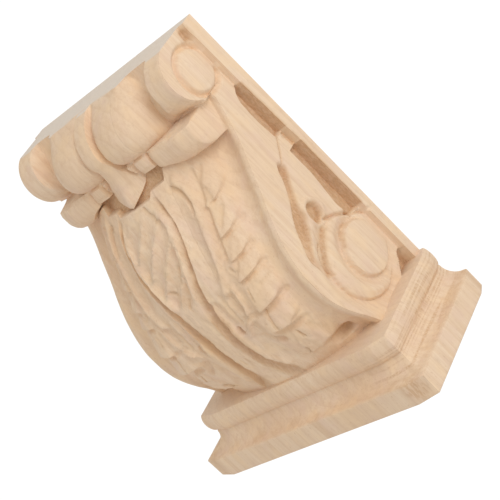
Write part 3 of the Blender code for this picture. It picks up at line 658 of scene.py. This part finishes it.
def front_tears_and_shade(across, length):
    """How brown the front is, from 0 to 1: fuzzy valleys and cracks between lobes, the torn pocket and
    corner hollow with painted shade in them, and painted shade in the volute's neck and under the lobe tips.
    """
    far = np.abs(across)
    inner, outer = smooth_curve(STEM_EDGE, length), smooth_curve(VALLEY_EDGE, length)
    low = 1 - step(length, 84, 100)
    valley = step(far, inner - 1.5 * low, (inner + outer) / 2)
    valley = valley * (1 - step(far, outer, outer + 1.2 + 2.0 * low))
    valley = valley * smooth_curve(VALLEY_DEEP, length) / 4 * (1 + 1.2 * low)
    patchy = step(rough(across / 3.1, length / 5.0, 5.0), -0.7, 0.5)
    # The pocket under the rolls: torn wood, and painted shade under the overhanging rolls
    top, edge = pocket_top(far), smooth_curve(ROLL_LOWER_EDGE, far)
    pocket = step(length, top - MARK_GAP, top + MARK_GAP)
    pocket = pocket * (1 - step(length, edge - MARK_GAP, edge + MARK_GAP))
    pocket = pocket * (1 - step(far, POCKET_REACH, POCKET_REACH + 2))
    # The deep hollow at the upper corner: torn floor with painted shade in it
    pit = bump(far - TOP_HOLLOW[0], TOP_HOLLOW_TORN_AND_SHADE[0]) * bump(length - TOP_HOLLOW[1], TOP_HOLLOW_TORN_AND_SHADE[1])
    # Painted shade: a brownish tone laid in the deep neck of the volute
    neck = 0.3 * bump(far - 44, 5) * step(length, 170, 175) * (1 - step(length, 192, 199))
    drawn = np.maximum(strokes(far, length, LEAF_STROKES)[1], strokes(across, length, BUD_STROKES)[1])
    spoilt = 0.45 + 0.55 * step(across, -8, 8)
    fuzzy = np.clip(valley * (0.35 + 0.65 * patchy), 0, 0.8)
    return np.clip(spoilt * (fuzzy + drawn) + pocket + 1.2 * pit + neck, 0, 1)


def front_grit(across, length, torn_and_shade):
    """Small unevenness of the front: lumps over the leaf, and fuzz where the wood is torn."""
    fine = 0.34 * rough(across / 0.9, length / 2.6, 1.0) * torn_and_shade
    leaf = step(length, 36, 44) * (1 - step(length, 145, 149)) * (1 - step(np.abs(across), 50, 54))
    lumpy = 0.30 * rough(across / 2.4, length / 3.2, 2.0) + 0.16 * rough(across / 1.0, length / 1.6, 3.0)
    return fine + leaf * lumpy + 0.05 * rough(across / 4.0, length / 9.0, 4.0)


def side_grit(depth, length, torn_and_shade, seed):
    """Small unevenness of a side face: slight waves, and fuzz in its torn recesses."""
    fuzz = -0.16 * np.abs(rough(depth / 0.9, length / 2.8, seed)) * torn_and_shade
    return fuzz + 0.03 * rough(depth / 5, length / 11, seed + 1)


def moulding_profile(sizes):
    """The moulding from the abacus top down to the ledge, as (drop, setback) pairs."""
    cavetto_top = sizes.abacus_thick
    notch = cavetto_top + sizes.cavetto_height
    bead_top = notch + sizes.fillet_height
    face_top = SLAB_TOP_EDGE[-1][0]
    profile = list(SLAB_TOP_EDGE)
    profile += [
        (face_top + (cavetto_top - SLAB_EASED) * k / SLAB_LINES, 0.0) for k in range(1, SLAB_LINES + 1)
    ]
    profile.append((cavetto_top - SLAB_UNDER_EDGE[0], SLAB_UNDER_EDGE[1]))
    for turn in np.linspace(0, np.pi / 2, CAVETTO_LINES):
        inward = sizes.abacus_arris + sizes.cavetto_reach * np.sin(turn)
        profile.append((cavetto_top + sizes.cavetto_height * (1 - np.cos(turn)), inward))
    profile.append((notch + sizes.fillet_height * 0.3, sizes.notch_setback))
    profile.append((notch + sizes.fillet_height * 0.8, sizes.notch_setback))
    start, end = BEAD_TURN
    for turn in np.linspace(start, end, BEAD_LINES):
        drop = bead_top + sizes.bead_height * (np.sin(turn) - np.sin(start)) / (np.sin(end) - np.sin(start))
        falling = (1 - np.cos(turn)) / (1 - np.cos(end))
        profile.append((drop, sizes.bead_setback + (sizes.ledge_setback - sizes.bead_setback) * falling))
    return profile


def moulding_outline(sizes, setback):
    """The abacus plan with its cut corners, drawn in by the setback, as points along its run."""
    half = sizes.abacus_width / 2 - setback
    front = sizes.depth - setback
    right = [
        (half - BACK_CORNER[0], 0.0), (half, BACK_CORNER[1]),
        (half, front - FRONT_CORNER[1]), (half - FRONT_CORNER[0], front),
    ]
    corners = right + [(-across, deep) for across, deep in reversed(right)]
    points = []
    for pieces, start, end in zip((*MOULDING_STEPS, *MOULDING_STEPS[2::-1]), corners[:-1], corners[1:]):
        for k in range(pieces):
            points.append([a + (b - a) * k / pieces for a, b in zip(start, end)])
    points.append(list(corners[-1]))
    return np.array([(-across, -deep) for across, deep in points])


def carve_moulding(sizes):
    """Points round the moulding, row by row from the abacus top to the ledge."""
    rows = []
    for drop, setback in moulding_profile(sizes):
        outline = moulding_outline(sizes, setback)
        rows.append(np.column_stack((outline, np.full(len(outline), sizes.height / 2 - drop))))
    return np.array(rows)


def stitch(mesh, rows, on_back=()):
    """Faces between rows of vertices; the last row's wall side takes in any extra points there."""
    for number, (upper, lower) in enumerate(zip(rows[:-1], rows[1:])):
        for i in range(len(upper) - 1):
            mesh.faces.new((upper[i], upper[i + 1], lower[i + 1], lower[i]))
        extra = on_back if number == len(rows) - 2 else ()
        mesh.faces.new((upper[-1], upper[0], lower[0], *extra, lower[-1]))


class Expression:
    """One socket of a node tree, so that sums on sockets add Math nodes."""

    def __init__(self, nodes, socket):
        self.nodes = nodes
        self.socket = socket

    def math(self, operation, *values):
        return self.nodes.add("ShaderNodeMath", {"operation": operation}, dict(enumerate(values)))

    def __add__(self, other):
        return self.math("ADD", self, other)

    def __sub__(self, other):
        return self.math("SUBTRACT", self, other)

    def __rsub__(self, other):
        return self.math("SUBTRACT", other, self)

    def __mul__(self, other):
        return self.math("MULTIPLY", self, other)

    def __truediv__(self, other):
        return self.math("DIVIDE", self, other)

    def __pow__(self, other):
        return self.math("POWER", self, other)

    def __gt__(self, other):
        return self.math("GREATER_THAN", self, other)

    __radd__ = __add__
    __rmul__ = __mul__

    def fraction(self):
        return self.math("FRACT", self)

    def size(self):
        return self.math("ABSOLUTE", self)

    def ramp(self, start, end):
        """0 up to start, 1 from end on."""
        return self.nodes.add(
            "ShaderNodeMapRange", {"interpolation_type": "SMOOTHSTEP"},
            {"Value": self, "From Min": start, "From Max": end},
        )


class Nodes:
    """A node tree and the one way in which nodes are added to it."""

    def __init__(self, tree):
        self.tree = tree
        tree.nodes.clear()

    def add(self, kind, settings, inputs, output=0):
        """A node of a kind, with its settings first and then its sockets; gives one of its outputs."""
        node = self.tree.nodes.new(kind)
        for name, value in settings.items():
            setattr(node, name, value)
        for name, value in inputs.items():
            if isinstance(value, Expression):
                self.tree.links.new(value.socket, node.inputs[name])
            else:
                node.inputs[name].default_value = value
        return Expression(self, node.outputs[output]) if node.outputs else None

    def mix(self, factor, first, second):
        """Two colours mixed by a factor."""
        return self.add(
            "ShaderNodeMix", {"data_type": "RGBA"}, {0: factor, 6: first, 7: second}, output=2,
        )


def wood_material(name, finish):
    """Pale bare wood with its grain along Z, glued boards across X, and brown torn recesses, with painted
    shade in the pocket, the volute's neck and under the lobe tips.
    """
    material = bpy.data.materials.new(name)
    material.use_nodes = True
    nodes = Nodes(material.node_tree)
    place = nodes.add("ShaderNodeTexCoord", {}, {}, output="Object")
    split = [nodes.add("ShaderNodeSeparateXYZ", {}, {0: place}, output=axis) for axis in "XYZ"]
    across, deep, up = (axis * 1000.0 for axis in split)

    def noise(scale, detail=2.0, shift=(0.0, 0.0, 0.0)):
        """Noise with a scale along each axis, for places in millimetres."""
        where = nodes.add(
            "ShaderNodeMapping", {},
            {"Vector": place, "Scale": [1000.0 * s for s in scale], "Location": shift},
        )
        return nodes.add(
            "ShaderNodeTexNoise", {"noise_dimensions": "3D"},
            {"Vector": where, "Scale": 1.0, "Detail": detail},
        )

    def stained(tone, share, colour):
        """The tone with a share of a colour mixed in."""
        return nodes.mix(share, tone, (*colour, 1.0))

    # Growth rings, whose heart shifts from board to board
    boards = [across > line for line in BOARD_EDGES]
    shift = boards[0] * 37.0 - boards[1] * 22.0 + boards[2] * 31.0 - boards[3] * 28.0
    sway = noise((0.02, 0.02, 0.008)) * 14.0
    wave = noise((0.05, 0.05, 0.02), shift=(5.0, 3.0, 1.0)) * 4.0
    ring_x, ring_y = across + shift - RING_HEART[0], deep - RING_HEART[1] - shift * 0.6
    radius = (ring_x * ring_x + ring_y * ring_y) ** 0.5
    turn = ((radius + sway + wave) / finish.ring_width_mm()).fraction()
    late = turn ** 3.0 * (1.0 - turn.ramp(0.94, 1.0))

    # Bare wood: clouds, rings, fibre, pores, streaks and patches
    fibre = noise((1.4, 1.4, 0.05), detail=3.0)
    pores = noise((3.2, 3.2, 0.22), detail=1.0, shift=(2.0, 7.0, 4.0)).ramp(0.62, 0.76)
    cloud = noise((0.03, 0.03, 0.012), detail=2.0, shift=(9.0, 1.0, 6.0))
    tone = nodes.mix(cloud.ramp(0.3, 0.7), (*finish.light_wood, 1.0), (*finish.warm_wood, 1.0))
    tone = stained(tone, late * 0.34, finish.late_wood)
    tone = stained(tone, fibre.ramp(0.35, 0.75) * 0.26, finish.late_wood)
    tone = stained(tone, pores * 0.22, finish.pore)
    streak = noise((0.45, 0.45, 0.014), detail=4.0, shift=(1.0, 2.0, 9.0)).ramp(0.44, 0.68)
    tone = stained(tone, streak * 0.34, finish.late_wood)
    patch = noise((0.11, 0.11, 0.06), detail=3.0, shift=(4.0, 4.0, 2.0))
    tone = stained(tone, patch.ramp(0.50, 0.68) * 0.40, finish.pink_wood)
    tone = stained(tone, (1.0 - patch.ramp(0.34, 0.48)) * 0.45, finish.yellow_wood)

    # The boards' own tones, the greyer ends and a glue line
    board_tone = boards[0] * 0.10 - boards[1] * 0.16 + boards[2] * 0.14 - boards[3] * 0.08 + 0.06
    tone = stained(tone, board_tone, finish.late_wood)
    normal = nodes.add("ShaderNodeNewGeometry", {}, {}, output="Normal")
    endwise = nodes.add("ShaderNodeSeparateXYZ", {}, {0: normal}, output="Z").size().ramp(0.96, 0.99)
    sawn = 0.3 + 0.7 * up.size().ramp(98.0, 99.0)
    away = (up - 85.0).size() > 4.0
    tone = stained(tone, endwise * away * sawn * (0.55 + 0.4 * cloud), finish.end_grain)
    glue = 1.0 - (across - BOARD_EDGES[1]).size().ramp(0.10, 0.32)
    tone = stained(tone, glue * 0.16 * (1.0 - up.ramp(55.0, 62.0)), finish.pore)

    # Worn bands along the mouldings, streaks on the slab and the stain at its corner
    chatter = noise((0.9, 1.5, 0.35), detail=2.0, shift=(8.0, 5.0, 1.0)).ramp(0.40, 0.60)
    bands = noise((0.0, 0.02, 0.75), detail=2.0, shift=(3.0, 1.0, 5.0)).ramp(0.46, 0.62)
    worn = (1.0 - across.ramp(-72.0, -36.0)) * up.ramp(66.0, 69.0) * (1.0 - up.ramp(85.0, 89.0))
    tone = stained(tone, (0.35 + 0.65 * chatter) * bands * worn * 0.55, finish.torn_and_shade_wood)
    flame = noise((0.13, 0.13, 0.006), detail=4.0, shift=(2.0, 6.0, 4.0)).ramp(0.50, 0.70)
    tone = stained(tone, flame * up.ramp(83.0, 88.0) * 0.30, finish.torn_and_shade_wood)
    off = [axis - middle for axis, middle in zip((across, deep, up), STAIN_CENTRE)]
    from_corner = (off[0] ** 2.0 + off[1] ** 2.0 + off[2] ** 2.0) ** 0.5
    stain = (1.0 - from_corner.ramp(3.0, 9.0)) * (0.3 + 0.7 * chatter)
    tone = stained(tone, stain * 0.6, finish.torn_and_shade_wood)

    # Torn recesses, with painted shade in the pocket, the volute's neck and under the lobe tips, flecks and
    # the hatching of the deepest tears
    torn_and_shade = nodes.add("ShaderNodeAttribute", {"attribute_name": "torn_and_shade"}, {}, output="Fac")
    fuzz = noise((1.1, 1.1, 0.35), detail=3.0, shift=(3.0, 8.0, 2.0))
    brown = torn_and_shade * (0.62 + 0.38 * fuzz.ramp(0.35, 0.65))
    fibre_tone = nodes.mix(torn_and_shade.ramp(0.25, 0.8), (*finish.fuzzy_and_shade_wood, 1.0), (*finish.torn_and_shade_wood, 1.0))
    tone = nodes.mix(brown * 0.78, tone, fibre_tone)
    flecks = noise((0.9, 0.9, 0.5), detail=2.0, shift=(7.0, 2.0, 8.0)).ramp(0.66, 0.72)
    tone = stained(tone, flecks * deep.size().ramp(40.0, 62.0) * 0.30, finish.torn_and_shade_wood)
    hatch = noise((1.6, 1.6, 0.9), detail=2.0, shift=(6.0, 1.0, 3.0)).ramp(0.50, 0.60)
    tone = stained(tone, torn_and_shade.ramp(0.7, 1.0) * hatch * 0.22, finish.pore)

    rough_value = 0.60 + 0.16 * fibre + 0.15 * torn_and_shade
    height = 0.5 * fibre - 0.6 * pores + 0.35 * late + 0.8 * torn_and_shade * fuzz
    relief = nodes.add(
        "ShaderNodeBump", {}, {"Strength": 0.55, "Distance": 0.00022, "Height": height}, output="Normal",
    )
    shader = nodes.add(
        "ShaderNodeBsdfPrincipled", {},
        {"Base Color": tone, "Roughness": rough_value, "Normal": relief, "Specular IOR Level": 0.35},
    )
    nodes.add("ShaderNodeOutputMaterial", {}, {"Surface": shader})
    return material


class CorbelSizes(bpy.types.PropertyGroup):
    """Sizes of the block, its mouldings and its side slots."""

    height: bpy.props.FloatProperty(
        name="Height", description="From the foot to the abacus top", default=HIGH.z - LOW.z, min=0.05,
        unit="LENGTH",
    )
    depth: bpy.props.FloatProperty(
        name="Depth", description="From the wall to the front of the abacus", default=HIGH.y - LOW.y,
        min=0.02, unit="LENGTH",
    )
    abacus_width: bpy.props.FloatProperty(
        name="Abacus Width", description="Across the abacus slab", default=HIGH.x - LOW.x, min=0.05,
        unit="LENGTH",
    )
    body_width: bpy.props.FloatProperty(
        name="Body Width", description="Across the carved body, between its side faces", default=0.130,
        min=0.03, unit="LENGTH",
    )
    strip_proud: bpy.props.FloatProperty(
        name="Back Strip", description="How far the strip along the wall stands out past the side face",
        default=0.0035, min=0.0, unit="LENGTH",
    )
    abacus_thick: bpy.props.FloatProperty(
        name="Slab", description="Height of the abacus slab", default=0.0130, min=0.002, unit="LENGTH",
    )
    cavetto_height: bpy.props.FloatProperty(
        name="Cavetto", description="Height of the hollow under the slab", default=0.0079, min=0.002,
        unit="LENGTH",
    )
    fillet_height: bpy.props.FloatProperty(
        name="Fillet", description="Height of the notch above the bead", default=0.0015, min=0.0002,
        unit="LENGTH",
    )
    bead_height: bpy.props.FloatProperty(
        name="Bead", description="Height of the rounded bead", default=0.0116, min=0.002, unit="LENGTH",
    )
    abacus_arris: bpy.props.FloatProperty(
        name="Slab Arris", description="Step in under the slab, before the hollow", default=0.0023,
        unit="LENGTH",
    )
    cavetto_reach: bpy.props.FloatProperty(
        name="Cavetto Reach", description="How far the hollow runs in", default=0.0090, unit="LENGTH",
    )
    bead_setback: bpy.props.FloatProperty(
        name="Bead Setback", description="The bead's face behind the slab's", default=0.0097, unit="LENGTH",
    )
    notch_setback: bpy.props.FloatProperty(
        name="Notch Setback", description="The notch behind the slab's face", default=0.0116, unit="LENGTH",
    )
    ledge_setback: bpy.props.FloatProperty(
        name="Ledge Setback", description="The bead's lower edge behind the slab's face", default=0.0112,
        unit="LENGTH",
    )
    slot_depth: bpy.props.FloatProperty(
        name="Slot Depth", description="How deep the milled slots are", default=0.0036, min=0.0005,
        unit="LENGTH",
    )

    @property
    def across(self):
        """Metres across for one unit of the pattern."""
        return self.body_width / 2 / PATTERN_HALF

    @property
    def outward(self):
        """Metres out from the wall for one unit of the pattern."""
        return self.depth / PATTERN_DEPTH

    @property
    def ledge_z(self):
        """Height of the ledge where the body starts under the mouldings."""
        mouldings = self.abacus_thick + self.cavetto_height + self.fillet_height + self.bead_height
        return self.height / 2 - mouldings

    @property
    def downward(self):
        """Metres down the body for one unit of the pattern."""
        return (self.ledge_z + self.height / 2) / (PATTERN_FOOT - PATTERN_LEDGE)


class CorbelFinish(bpy.types.PropertyGroup):
    """Colours and grain of the wood."""

    light_wood: bpy.props.FloatVectorProperty(
        name="Light Wood", description="Palest early wood", subtype="COLOR", default=(0.88, 0.68, 0.49),
        min=0.0, max=1.0,
    )
    warm_wood: bpy.props.FloatVectorProperty(
        name="Warm Wood", description="Warmer early wood", subtype="COLOR", default=(0.85, 0.625, 0.425),
        min=0.0, max=1.0,
    )
    late_wood: bpy.props.FloatVectorProperty(
        name="Late Wood", description="Darker late wood in each ring", subtype="COLOR",
        default=(0.70, 0.47, 0.29), min=0.0, max=1.0,
    )
    pore: bpy.props.FloatVectorProperty(
        name="Pores", description="Fine dark pores and glue lines", subtype="COLOR",
        default=(0.42, 0.26, 0.15), min=0.0, max=1.0,
    )
    end_grain: bpy.props.FloatVectorProperty(
        name="End Grain", description="Greyer wood on the sawn ends", subtype="COLOR",
        default=(0.80, 0.72, 0.63), min=0.0, max=1.0,
    )
    pink_wood: bpy.props.FloatVectorProperty(
        name="Pink Patches", description="Cooler pinkish patches", subtype="COLOR",
        default=(0.80, 0.575, 0.44), min=0.0, max=1.0,
    )
    yellow_wood: bpy.props.FloatVectorProperty(
        name="Yellow Patches", description="Warmer yellowish patches", subtype="COLOR",
        default=(0.90, 0.66, 0.42), min=0.0, max=1.0,
    )
    # Also painted as shade in the volute's neck and under the lobe tips
    fuzzy_and_shade_wood: bpy.props.FloatVectorProperty(
        name="Fuzzy Wood and Shade", description="Yellow-brown fuzz in the shallow valleys", subtype="COLOR",
        default=(0.60, 0.40, 0.20), min=0.0, max=1.0,
    )
    # Also painted as shade in the pocket under the rolls and the hollow at the leaf's upper corner
    torn_and_shade_wood: bpy.props.FloatVectorProperty(
        name="Torn Wood and Shade", description="Brown torn and scorched floors of the recesses", subtype="COLOR",
        default=(0.58, 0.34, 0.17), min=0.0, max=1.0,
    )
    ring_width: bpy.props.FloatProperty(
        name="Ring Width", description="Distance between growth rings", default=0.0052, min=0.0005,
        unit="LENGTH",
    )

    def ring_width_mm(self):
        """Distance between growth rings in millimetres."""
        return self.ring_width * 1000


class CorbelStudio(bpy.types.PropertyGroup):
    """Light and floor round the bracket."""

    key_power: bpy.props.FloatProperty(
        name="Key Light", description="Strength of the large soft light", default=4.9, min=0.0, unit="POWER",
    )
    fill: bpy.props.FloatProperty(
        name="Fill", description="Strength of the even light from all round", default=0.74, min=0.0,
    )
    floor_height: bpy.props.FloatProperty(
        name="Floor Height", description="Height of the floor", default=-0.9, unit="LENGTH",
    )


class CORBEL_OT_block(bpy.types.Operator):
    """Carve the block, in place of the plain solid"""

    bl_idname = "corbel.block"
    bl_label = "Carved Block"

    def execute(self, context):
        """Builds the mouldings and the body as one closed mesh."""
        sizes = context.scene.corbel_sizes
        moulding = carve_moulding(sizes)
        body, body_torn_and_shade = carve_body(sizes)
        mesh = bmesh.new()
        rows = [[mesh.verts.new(point) for point in row] for row in moulding]
        body_rows = [[mesh.verts.new(point) for point in row] for row in body]
        stitch(mesh, rows, on_back=(body_rows[0][0], body_rows[0][-1]))
        stitch(mesh, body_rows)
        mesh.faces.new(rows[0])
        mesh.faces.new(body_rows[-1])
        mesh.faces.new(rows[-1] + body_rows[0][::-1])
        open_edges = [edge for edge in mesh.edges if len(edge.link_faces) != 2]
        if open_edges:
            raise RuntimeError(f"the carved block has {len(open_edges)} open edges")
        bmesh.ops.recalc_face_normals(mesh, faces=mesh.faces)
        bmesh.ops.triangulate(mesh, faces=[face for face in mesh.faces if len(face.verts) > 4])
        data = bpy.data.meshes.new("carved_block")
        mesh.to_mesh(data)
        mesh.free()
        # Brown mask for the shader: torn wood, and painted shade in the pocket, the volute's neck and under
        # the lobe tips
        torn_and_shade = np.concatenate((np.zeros(moulding[..., 0].size), body_torn_and_shade.ravel()))
        data.attributes.new("torn_and_shade", "FLOAT", "POINT").data.foreach_set("value", torn_and_shade)
        data.shade_smooth()
        data.set_sharp_from_angle(angle=SHARP_ANGLE)
        data.materials.append(wood_material("pale_carved_wood", context.scene.corbel_finish))
        block = bpy.data.objects.new("carved_block", data)
        context.scene.collection.objects.link(block)
        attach(block, "root")
        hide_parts("carved_corbel")
        return {"FINISHED"}


def plain_material(name, colour, roughness):
    """Plain material for the floor."""
    material = bpy.data.materials.new(name)
    material.use_nodes = True
    nodes = Nodes(material.node_tree)
    shader = nodes.add("ShaderNodeBsdfPrincipled", {}, {"Base Color": colour, "Roughness": roughness})
    nodes.add("ShaderNodeOutputMaterial", {}, {"Surface": shader})
    return material


def area_light(name, place, aim, power, size):
    """A soft square light that faces a point."""
    lamp = bpy.data.lights.new(name, "AREA")
    lamp.energy, lamp.size = power, size
    light = bpy.data.objects.new(name, lamp)
    light.location = place
    light.rotation_euler = (aim - light.location).to_track_quat("-Z", "Y").to_euler()
    bpy.context.scene.collection.objects.link(light)


class CORBEL_OT_studio(bpy.types.Operator):
    """Set out the floor, the lights and the camera"""

    bl_idname = "corbel.studio"
    bl_label = "Studio"

    def execute(self, context):
        """Makes the plain studio."""
        studio = context.scene.corbel_studio
        middle = (LOW + HIGH) / 2

        mesh = bmesh.new()
        bmesh.ops.create_grid(mesh, x_segments=1, y_segments=1, size=FLOOR_SIZE)
        for vert in mesh.verts:
            vert.co.z = studio.floor_height
        data = bpy.data.meshes.new("studio_floor")
        mesh.to_mesh(data)
        mesh.free()
        data.materials.append(plain_material("pale_floor", FLOOR_COLOUR, FLOOR_ROUGHNESS))
        floor = bpy.data.objects.new("studio_floor", data)
        context.scene.collection.objects.link(floor)

        area_light("key", KEY_PLACE, middle, studio.key_power, KEY_SIZE)

        world = bpy.data.worlds.new("studio_world")
        context.scene.world = world
        world.use_nodes = True
        nodes = Nodes(world.node_tree)
        seen = nodes.add("ShaderNodeLightPath", {}, {}, output="Is Camera Ray")
        strength = studio.fill + seen * (BACKDROP - studio.fill)
        light = nodes.add("ShaderNodeBackground", {}, {"Color": (1.0, 1.0, 1.0, 1.0), "Strength": strength})
        nodes.add("ShaderNodeOutputWorld", {}, {"Surface": light})
        context.scene.view_settings.view_transform = "Standard"

        data = bpy.data.cameras.new("photo_camera")
        data.sensor_width, data.lens = CAMERA_SENSOR, CAMERA_LENS
        data.clip_start, data.clip_end = CAMERA_CLIP
        camera = bpy.data.objects.new("photo_camera", data)
        camera.location = CAMERA_PLACE
        camera.rotation_mode = "QUATERNION"
        camera.rotation_quaternion = CAMERA_TURN
        context.scene.collection.objects.link(camera)
        context.scene.camera = camera
        return {"FINISHED"}


class VIEW3D_PT_corbel(bpy.types.Panel):
    """The bracket's pieces and its studio"""

    bl_label = "Carved Corbel"
    bl_space_type = "VIEW_3D"
    bl_region_type = "UI"
    bl_category = "Corbel"

    def draw(self, context):
        """Lists the sizes, the finish and the pieces."""
        for group in (context.scene.corbel_sizes, context.scene.corbel_finish, context.scene.corbel_studio):
            box = self.layout.box()
            for name in group.__annotations__:
                box.prop(group, name)
        self.layout.operator("corbel.block")
        self.layout.operator("corbel.studio")


CLASSES = (CorbelSizes, CorbelFinish, CorbelStudio, CORBEL_OT_block, CORBEL_OT_studio, VIEW3D_PT_corbel)


def register():
    """Registers the classes and their settings."""
    for made in CLASSES:
        bpy.utils.register_class(made)
    bpy.types.Scene.corbel_sizes = bpy.props.PointerProperty(type=CorbelSizes)
    bpy.types.Scene.corbel_finish = bpy.props.PointerProperty(type=CorbelFinish)
    bpy.types.Scene.corbel_studio = bpy.props.PointerProperty(type=CorbelStudio)


def unregister():
    """Takes the settings and the classes away again."""
    del bpy.types.Scene.corbel_studio, bpy.types.Scene.corbel_finish, bpy.types.Scene.corbel_sizes
    for made in reversed(CLASSES):
        bpy.utils.unregister_class(made)


def main():
    """Makes the whole part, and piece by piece."""
    register()
    bpy.ops.corbel.block()
    bpy.ops.corbel.studio()


if __name__ == "__main__":
    main()
